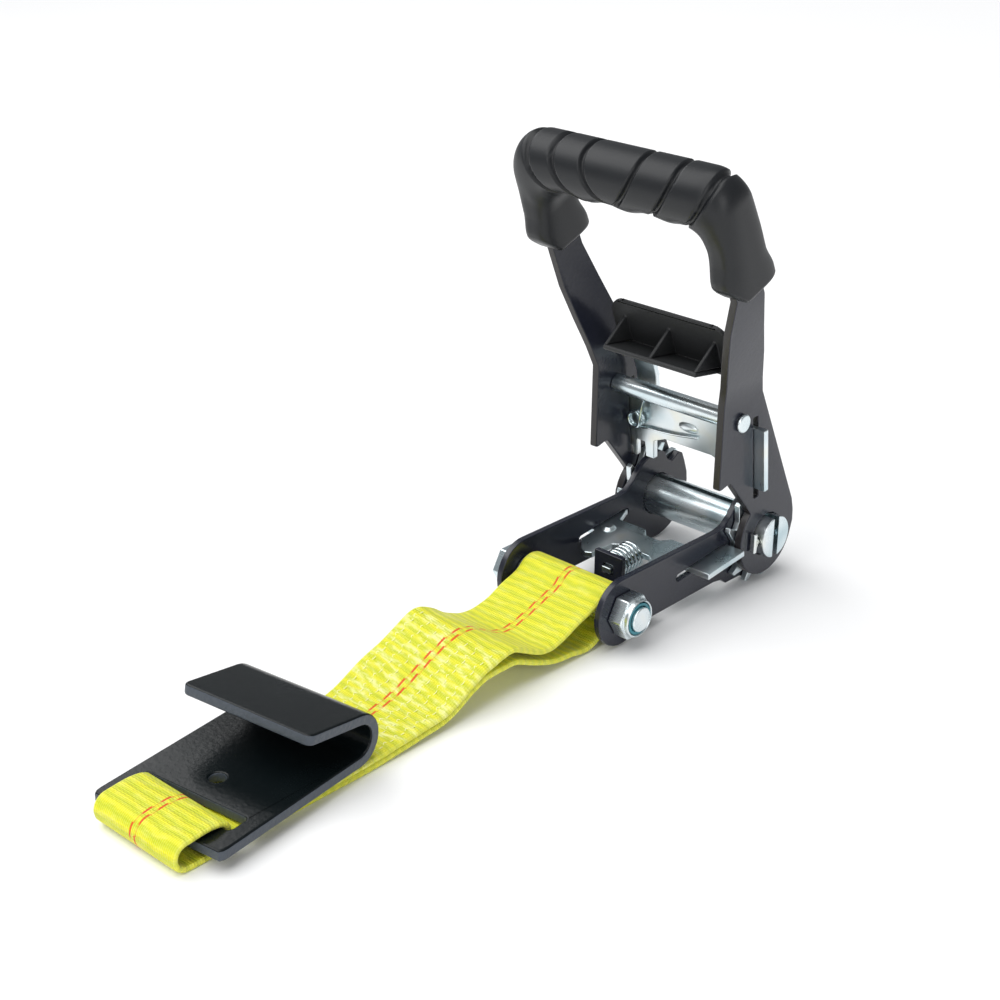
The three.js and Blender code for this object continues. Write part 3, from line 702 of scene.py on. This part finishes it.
# the finger waves, which fade towards the bends and the top of the bar
WAVE, WAVE_PERIOD, WAVE_AT = 1.7, 23.0, -5.0
WAVE_SPAN, WAVE_ANGLES = (30.0, 42.0), (95.0, 150.0)
# a leg's section: how square it gets, its waist, and how much it flares between two depths
ROUND_POWER, SQUARE_POWER, SQUARE_BY = 2.0, 3.4, 24.0
WAIST, WAIST_BY, LEG_DROP = 12.9, 18.0, 22.0
FRONT_FLARE, BACK_FLARE = (3.4, 14.0, 44.0), (2.8, 30.0, 44.0)
# a leg's lower edge as (front, up): level at the back, then slanting up in front
LEG_HEEL, LEG_KNEE, LEG_TOE = (-15.7, -45.1), (8.4, -44.0), (16.5, -33.8)
# (inset, sink) of the rings that round a leg's end
END_ROUNDING = ((0.35, 0.9), (1.1, 1.6), (2.2, 1.9))
BAR_STEPS, BEND_STEPS, LEG_STEPS, AROUND, CORNER_STEPS = 80, 64, 30, 128, 24


def along_polyline(points, share):
    """The point at that share of a polyline's length."""
    spans = [(b - a).length for a, b in zip(points, points[1:])]
    left = share * sum(spans)
    for a, b, span in zip(points, points[1:], spans):
        if span and left <= span:
            return a.lerp(b, left / span)
        left -= span
    return points[-1]


def corner(start, centre, radius, stop):
    """A straight, a quarter turn down and a straight, as a fine polyline of (across, up)."""
    turn = [Vector((centre[0] + radius * math.sin(a), centre[1] + radius * math.cos(a)))
            for a in (math.pi / 2 * i / CORNER_STEPS for i in range(CORNER_STEPS + 1))]
    return [Vector(start)] + turn + [Vector(stop)]


OUTER_CORNER = corner((BEND_FROM, BAR), (LEG_OUTSIDE - OUTER_BEND, BAR - OUTER_BEND), OUTER_BEND,
                      (LEG_OUTSIDE, LEG_FROM))
INNER_CORNER = corner((BEND_FROM, -BAR), (BEND_FROM, LEG_FROM), INNER_BEND, (LEG_INSIDE, LEG_FROM))


# %% The bow's steps
def leg_bottom(front):
    """How far down a leg ends, at that distance to the front."""
    behind, ahead = (LEG_KNEE, LEG_TOE) if front > LEG_KNEE[0] else (LEG_HEEL, LEG_KNEE)
    return mixed(behind[1], ahead[1], (front - behind[0]) / (ahead[0] - behind[0]))


def grip_rows():
    """Each row from the middle of the bar to a leg's end: outer and inner point, and leg share."""
    for step in range(BAR_STEPS):
        y = BEND_FROM * step / BAR_STEPS
        yield Vector((y, BAR)), Vector((y, -BAR)), 0.0
    for step in range(BEND_STEPS):
        share = step / BEND_STEPS
        yield along_polyline(OUTER_CORNER, share), along_polyline(INNER_CORNER, share), 0.0
    for step in range(LEG_STEPS + 1):
        share = step / LEG_STEPS
        yield Vector((LEG_OUTSIDE, LEG_FROM)), Vector((LEG_INSIDE, LEG_FROM)), share


def grip_point(outer, inner, leg, angle, inset=0.0):
    """A point of the skin at that angle round its section, 0 outwards and 90 degrees to the front."""
    centre, half = (outer + inner) / 2, (outer - inner).length / 2
    out = (outer - inner).normalized()
    power = mixed(ROUND_POWER, SQUARE_POWER, eased(-centre.y, 0, SQUARE_BY))
    c, s = math.cos(angle), math.sin(angle)
    reach = (abs(c) ** power + abs(s) ** power) ** (-1 / power)
    drop = -centre.y + LEG_DROP * leg
    flare, flare_from, flare_to = FRONT_FLARE if s > 0 else BACK_FLARE
    half_depth = mixed(BAR, WAIST, eased(drop, 0, WAIST_BY)) + flare * eased(drop, flare_from, flare_to)
    n = reach * s * (half_depth - inset)
    place = centre + out * (reach * c * (half - inset))
    if leg > 0:
        place.y = mixed(LEG_FROM, leg_bottom(n), leg)
    return place.x, place.y, n


def pressed(y, up, n):
    """How deep the skin is pressed in there by the grooves and the finger waves."""
    angle = abs(math.degrees(math.atan2(n, up)))
    veer = VEER * max(0.0, min(angle, VEER_TO) - VEER_FROM) ** 2
    depth = 0.0
    for place in GROOVES:
        centre = place - math.copysign(veer, place)
        groove = 1 - eased(abs(y - centre), GROOVE_FLOOR, GROOVE_HALF)
        if abs(place) < MIDDLE_PAIR:
            groove *= 1 - eased(angle, *MIDDLE_STOP)
        depth = max(depth, groove * GROOVE_DEPTH)
    bar_only = (1 - eased(abs(y), *WAVE_SPAN)) * eased(angle, *WAVE_ANGLES)
    wave = 0.5 - 0.5 * math.cos(2 * math.pi * (y - WAVE_AT) / WAVE_PERIOD)
    return depth + WAVE * wave * bar_only


# %% The grip's skin
def build_grip():
    """The whole skin: rings along both halves of the bow, closed ends, grooves and waves."""
    half = list(grip_rows())
    rows = [(row, -1) for row in half[:0:-1]] + [(row, 1) for row in half]
    shape = bmesh.new()
    rings = []

    def ring(row, side, inset=0.0, sink=0.0):
        made = []
        for k in range(AROUND):
            y, up, n = grip_point(*row, 2 * math.pi * k / AROUND, inset)
            spot = GRIP_AT + GRIP_UP * (up - sink) + GRIP_FRONT * n + ACROSS * (y * side)
            made.append(shape.verts.new(SPINDLE + spot * MM))
        return made

    for row, side in rows:
        rings.append(ring(row, side))
    rings = [ring(rows[0][0], -1, *r) for r in reversed(END_ROUNDING)] + rings
    rings += [ring(rows[-1][0], 1, *r) for r in END_ROUNDING]
    for first, second in zip(rings, rings[1:]):
        for k in range(AROUND):
            n = (k + 1) % AROUND
            shape.faces.new((first[k], first[n], second[n], second[k]))
    for end in (rings[0], rings[-1]):
        # strips across the section; the first and the last are triangles
        for k in range(-AROUND // 4, AROUND // 4):
            strip = (end[k], end[k + 1], end[AROUND // 2 - k - 1], end[AROUND // 2 - k])
            shape.faces.new(dict.fromkeys(strip))
    bmesh.ops.recalc_face_normals(shape, faces=shape.faces)
    shape.normal_update()
    moves = []
    for vert in shape.verts:
        spot = (vert.co - SPINDLE) / MM - GRIP_AT
        depth = pressed(spot.y, spot.dot(GRIP_UP), spot.dot(GRIP_FRONT))
        moves.append(vert.co - vert.normal * depth * MM)
    for vert, place in zip(shape.verts, moves):
        vert.co = place
    for face in shape.faces:
        face.smooth = True
    mesh = bpy.data.meshes.new("soft_grip")
    shape.to_mesh(mesh)
    shape.free()
    return mesh


grip = as_piece("soft_grip", build_grip(), GRIP_RUBBER, "soft_rubber", "handle", ["handle_grip"])
print(f"grip: {len(grip.data.polygons)} faces")

# %% [markdown]
# ## The webbing
# One length of tape makes the whole strap. It starts under the hook, runs to the ratchet, turns
# round the bolt's sleeve, comes back on top in a slack wave, goes up through the hook's slot, over
# the front bar and back underneath. The tape is swept along that side view: each step places one
# closed row of points, so the edges stay round and the weave can follow the length.

# %% The strap's side view
TAPE, LAYER = 2.6, 2.8
HOOK_THICKNESS, NOSE_SETBACK, LOOP_LENGTH, SLEEVE_TURN = 5.0, 6.4, 19.6, 9.6
FLOOR = -SPINDLE.z / MM
BOLT_AT = Vector(((BOLT - SPINDLE).x, (BOLT - SPINDLE).z)) / MM
HOOK_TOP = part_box("flat_hook")[0].z / MM + FLOOR + HOOK_THICKNESS
LOOP_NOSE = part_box("webbing")[0].x / MM - SPINDLE.x / MM + NOSE_SETBACK
SLOT_RISE = LOOP_NOSE + LOOP_LENGTH


def arc_points(centre, radius, start, stop, steps):
    """Points on an arc, from start to stop in degrees."""
    for step in range(steps + 1):
        angle = math.radians(start + (stop - start) * step / steps)
        yield Vector((centre[0] + radius * math.cos(angle), centre[1] + radius * math.sin(angle)))


def strap_route():
    """The strap's middle line, side on, as (along, up) from the spindle's axis in millimetres."""
    low, high = FLOOR + LAYER / 2, FLOOR + 1.5 * LAYER
    over = HOOK_TOP + 0.3 + LAYER / 2
    turn = (over - low) / 2
    out = [
        (-297, low), (-270, low), (-250, low), (-231, low + 1.3), (-214, -18.5), (-198.5, -12.8),
        (-187, -7.4), (-177, -5.0), (-166, -8.6), (-156, -13.2), (-142.5, -17.8), (-126.5, -21.7),
        (-113, -23.0), (-104.5, -19.6)]
    back = [
        (-107.6, -2.6), (-118.5, -6.4), (-130.5, -10.6), (-143, -11.9), (-155.5, -7.7),
        (-166.5, -2.1), (-176, -0.7), (-186.5, -4.1), (-198.5, -9.9), (-214, -15.6),
        (-231, high + 1.4), (-250, high), (-285, high), (-312, high), (SLOT_RISE + 3.2, high),
        (SLOT_RISE + 0.5, high + 0.8)]
    yield from (Vector(p) for p in out)
    yield from arc_points(BOLT_AT, SLEEVE_TURN, start=-98, stop=118, steps=12)
    yield from (Vector(p) for p in back)
    yield Vector((SLOT_RISE, high + 5))
    yield Vector((SLOT_RISE - 0.6, over - 1.6))
    yield Vector((SLOT_RISE - 3.2, over))
    yield from arc_points((LOOP_NOSE, (low + over) / 2), turn, start=90, stop=270, steps=10)
    yield from (Vector((x, low)) for x in (-325, -312, -299.5))


def resampled(points, step):
    """Even steps along a smooth curve through the points, with the length run so far."""
    curve = bpy.data.curves.new("route", "CURVE")
    curve.dimensions = "3D"
    curve.resolution_u = 24
    spline = curve.splines.new("BEZIER")
    spline.bezier_points.add(len(points) - 1)
    for knot, point in zip(spline.bezier_points, points):
        knot.co = (point.x, 0, point.y)
        knot.handle_left_type = knot.handle_right_type = "AUTO"
    holder = bpy.data.objects.new("route", curve)
    bpy.context.scene.collection.objects.link(holder)
    dense = [Vector((v.co.x, v.co.z)) for v in holder.to_mesh().vertices]
    bpy.data.objects.remove(holder)
    evened, run, due = [dense[0]], 0.0, step
    for a, b in zip(dense, dense[1:]):
        span = (b - a).length
        while span > 0 and run + span >= due:
            evened.append(a.lerp(b, (due - run) / span))
            due += step
        run += span
    return evened, run


ROUTE_STEP = 1.0
SEAM_FROM, SEAM_TO, RUN_BACK = -318, -170, 230
route, STRAP_LENGTH = resampled(list(strap_route()), ROUTE_STEP)
PAST_BOLT = max(range(len(route)), key=lambda i: route[i].x)
TOP_LAYER = [
    i for i, p in enumerate(route)
    if SEAM_FROM < p.x < SEAM_TO and PAST_BOLT < i < PAST_BOLT + RUN_BACK]
SEWN_FROM, SEWN_TO = TOP_LAYER[0] * ROUTE_STEP, TOP_LAYER[-1] * ROUTE_STEP
WEBBING = webbing_finish(SEWN_FROM, SEWN_TO)
print(f"strap: {STRAP_LENGTH:.0f} mm of tape, sewn from {SEWN_FROM:.0f} to {SEWN_TO:.0f} mm")


# %% The tape itself
ACROSS_STEPS, EDGE_STEPS = 34, 3
LEAN, LEAN_SINK, LEAN_STRETCH = 4.0, 1.2, ((-236, -200), (-178, -158))
EDGE_RIPPLE, FINE_RIPPLE, SLACK_STRETCH = 0.5, 0.35, ((-236, -205), (-130, -112))


def tape_section():
    """Points (across, up) of the tape's cut end, with round edges, starting at the near top."""
    half, rim = HALF_WIDTH, TAPE / 2
    flat = half - rim
    top = [(-flat + 2 * flat * i / ACROSS_STEPS, rim) for i in range(ACROSS_STEPS + 1)]
    side = [(flat + rim * math.sin(a), rim * math.cos(a))
            for a in (math.pi * i / (EDGE_STEPS + 1) for i in range(1, EDGE_STEPS + 1))]
    return top + side + [(-x, -z) for x, z in top] + [(-x, -z) for x, z in side]


def within(x, rise, fall):
    """1 inside a stretch of the strap, fading to 0 over each of its two ends."""
    return eased(x, *rise) * (1 - eased(x, *fall))


def tape_stray(across, x):
    """How the slack strap strays from level: it leans to the near side, and its edges ripple."""
    edge = abs(across / HALF_WIDTH) ** 3
    ripple = (edge * EDGE_RIPPLE * math.sin(x / 8.0 + across / 9.0)
              + FINE_RIPPLE * math.sin(x / 5.5 + across / 14.0))
    lean = LEAN * across / HALF_WIDTH - LEAN_SINK
    return within(x, *LEAN_STRETCH) * lean + within(x, *SLACK_STRETCH) * ripple


def row_place(across, x, z):
    """A place in the row frame, from millimetres across, along and above the spindle."""
    return SPINDLE + Vector((x, across, z)) * MM


def build_tape():
    """The tape as one closed skin along the route, with its UV map in millimetres."""
    section = tape_section()
    size = len(section)
    shape = bmesh.new()
    uv = shape.loops.layers.uv.new("strap_mm")
    rows = []
    for index, here in enumerate(route):
        before, after = route[max(index - 1, 0)], route[min(index + 1, len(route) - 1)]
        forward = (after - before).normalized()
        up = Vector((forward.y, -forward.x))
        row = []
        for across, height in section:
            spot = here + up * height
            spot.y += tape_stray(across, here.x)
            row.append(shape.verts.new(row_place(across, spot.x, spot.y)))
        rows.append(row)
    for index, (row, after) in enumerate(zip(rows, rows[1:])):
        for k in range(size):
            n = (k + 1) % size
            face = shape.faces.new((row[k], row[n], after[n], after[k]))
            face.smooth = True
            marks = ((k, 0), (n, 0), (n, 1), (k, 1))
            for loop, (point, ahead) in zip(face.loops, marks):
                loop[uv].uv = (section[point][0], (index + ahead) * ROUTE_STEP)
    shape.faces.new(rows[0][::-1])
    shape.faces.new(rows[-1])
    bmesh.ops.recalc_face_normals(shape, faces=shape.faces)
    mesh = bpy.data.meshes.new("webbing_tape")
    shape.to_mesh(mesh)
    shape.free()
    return mesh


tape = as_piece("webbing_tape", build_tape(), WEBBING, "yellow_webbing", "strap", ["webbing"])
print(f"tape: {len(tape.data.polygons)} faces")

# %% [markdown]
# ## Sewing
# The two layers between the hook and the wave are joined by rows of a pale zigzag lockstitch. The
# thread dips into a needle hole at every turn and lies proud between two holes. A node tree takes
# one guide line for each row, walks along it in thirds of a stitch, and moves each point sideways
# for the zigzag and down at the holes before it sweeps the thread.

# %% The zigzag tree
THREAD_SIDES = 6
HOLE_SHARE = 0.2


def zigzag_tree():
    """Sews along guide lines: sideways for the zigzag, down at each needle hole."""
    nodes, given = named_tree("zigzag_lockstitch", ["Stitch", "Swing", "Thread", "Hole depth"])
    path = nodes.node("GeometryNodeMeshToCurve", {}, {"Mesh": given["Geometry"]})
    path = nodes.node("GeometryNodeResampleCurve", {"mode": "LENGTH"}, {
        "Curve": path, "Length": given["Stitch"] / 3})
    count = nodes.node("GeometryNodeInputIndex")
    stitch = count / 3
    swing = (stitch.math("PINGPONG", 1.0) * 2 - 1) * given["Swing"]
    hole = stitch.math("FRACT").math("LESS_THAN", HOLE_SHARE)
    lift = given["Thread"] - hole * (given["Hole depth"] + given["Thread"])
    tangent = nodes.node("GeometryNodeInputTangent")
    up = nodes.node("ShaderNodeVectorMath", {"operation": "CROSS_PRODUCT"}, {
        0: (0, -1, 0), 1: tangent})
    raised = nodes.node("ShaderNodeVectorMath", {"operation": "SCALE"}, {0: up, "Scale": lift})
    sideways = nodes.node("ShaderNodeCombineXYZ", {}, {"Y": swing})
    offset = nodes.node("ShaderNodeVectorMath", {"operation": "ADD"}, {0: raised, 1: sideways})
    path = nodes.node("GeometryNodeSetPosition", {}, {"Geometry": path, "Offset": offset})
    return close_tree(nodes, swept(nodes, path, given["Thread"], THREAD_SIDES), THREAD)


# %% Rows of stitches
STITCH_ROWS = (-20.5, -13.5, -7.5, 7.5, 13.5, 20.5)
SEAM_STEPS = slice(3, -6, 2)


def stitch_line(across):
    """The top of the tape under one row of stitches."""
    for index in TOP_LAYER[SEAM_STEPS]:
        here, ahead = route[index], route[index + 1]
        forward = (ahead - here).normalized()
        up = Vector((forward.y, -forward.x))
        spot = here + up * (TAPE / 2)
        yield row_place(across, spot.x, spot.y + tape_stray(across, here.x))


stitches = grow(
    zigzag_tree(), [list(stitch_line(y)) for y in STITCH_ROWS],
    Stitch=3.1 * MM, Swing=0.9 * MM, Thread=0.2 * MM, Hole_depth=0.3 * MM)
sewing = as_piece("zigzag_sewing", stitches, THREAD, "yellow_webbing", "strap", [])
print(f"sewing: {len(sewing.data.polygons)} faces")
STRAP_LENGTH * MM

# %% [markdown]
# ## Stage
# A pale floor and a large overhead screen light the object evenly. A fill on the near side, a strip
# in front and a screen on the far side add the long clean reflections that black paint and zinc
# need. The camera stands at the corner of the hook and the near side.

# %% Floor and lights
FLOOR_HALF = 6.0


def lay_floor():
    corners = [(x * FLOOR_HALF, y * FLOOR_HALF, 0) for x, y in ((-1, -1), (1, -1), (1, 1), (-1, 1))]
    floor_mesh = bpy.data.meshes.new("pale_floor")
    floor_mesh.from_pydata(corners, [], [(0, 1, 2, 3)])
    floor = bpy.data.objects.new("pale_floor", floor_mesh)
    bpy.context.scene.collection.objects.link(floor)
    finish = Finish("floor_paper", Base_Color=colour(0.93, 0.93, 0.93), Roughness=0.9)
    floor_mesh.materials.append(finish.material)


def looking(direction):
    """The rotation that turns a lamp or a camera to look that way."""
    return Vector(direction).to_track_quat("-Z", "Y")


def overhead_screen(direction, strength, spread):
    """A sun so wide that its shadows are as soft as those of a screen over the whole table."""
    light = bpy.data.lights.new("large_overhead_screen", "SUN")
    light.energy = strength
    light.angle = spread
    lamp = bpy.data.objects.new("large_overhead_screen", light)
    lamp.rotation_euler = looking(direction).to_euler()
    bpy.context.scene.collection.objects.link(lamp)


def soft_light(name, place, aim, size, watts):
    """A soft box of that size in metres at a place, turned to what it aims at."""
    light = bpy.data.lights.new(name, "AREA")
    light.shape = "RECTANGLE"
    light.size, light.size_y = size
    light.energy = watts
    lamp = bpy.data.objects.new(name, light)
    lamp.location = place
    lamp.rotation_euler = looking(Vector(aim) - Vector(place)).to_euler()
    bpy.context.scene.collection.objects.link(lamp)


def dim_room(tint, strength):
    """An even, weak light from all round, as from the walls of a studio."""
    world = bpy.data.worlds.new("studio")
    world.use_nodes = True
    background = world.node_tree.nodes["Background"]
    background.inputs["Color"].default_value = tint
    background.inputs["Strength"].default_value = strength
    bpy.context.scene.world = world


lay_floor()
dim_room(colour(0.95, 0.97, 1), strength=0.30)
overhead_screen((0.30, -0.20, -1), strength=2.45, spread=math.radians(70))
soft_light("near_fill", (-0.5, -1.2, 0.55), aim=(0.05, 0, 0.08), size=(0.7, 0.7), watts=4)
soft_light("front_strip", (-1.15, -0.15, 0.75), aim=(0.1, 0, 0.06), size=(0.25, 1.0), watts=3)
soft_light("far_screen", (0.0, 1.0, 0.85), aim=(0.1, 0, 0.06), size=(1.3, 0.45), watts=4.5)
print("lights:", ", ".join(light.name for light in bpy.data.lights))

# %% Camera
VIEW_AZIMUTH, VIEW_ELEVATION = math.radians(-137.27), math.radians(24.83)
VIEW_ROLL = math.radians(0.55)
FOCAL_LENGTH, SENSOR_WIDTH = 67.7, 36.0
CAMERA_AT = Vector((-685.2, -497.3, 393.1))

bpy.context.scene.view_settings.view_transform = "Standard"
camera_data = bpy.data.cameras.new("camera")
camera_data.sensor_width = SENSOR_WIDTH
camera_data.lens = FOCAL_LENGTH
camera = bpy.data.objects.new("camera", camera_data)
bpy.context.scene.collection.objects.link(camera)
toward = Vector((
    -math.cos(VIEW_ELEVATION) * math.cos(VIEW_AZIMUTH),
    -math.cos(VIEW_ELEVATION) * math.sin(VIEW_AZIMUTH),
    -math.sin(VIEW_ELEVATION)))
roll = Matrix.Rotation(VIEW_ROLL, 3, "Z")
camera.location = SPINDLE + CAMERA_AT * MM
camera.rotation_euler = (looking(toward).to_matrix() @ roll).to_euler()
bpy.context.scene.camera = camera
print("camera at", [round(v, 3) for v in camera.location])
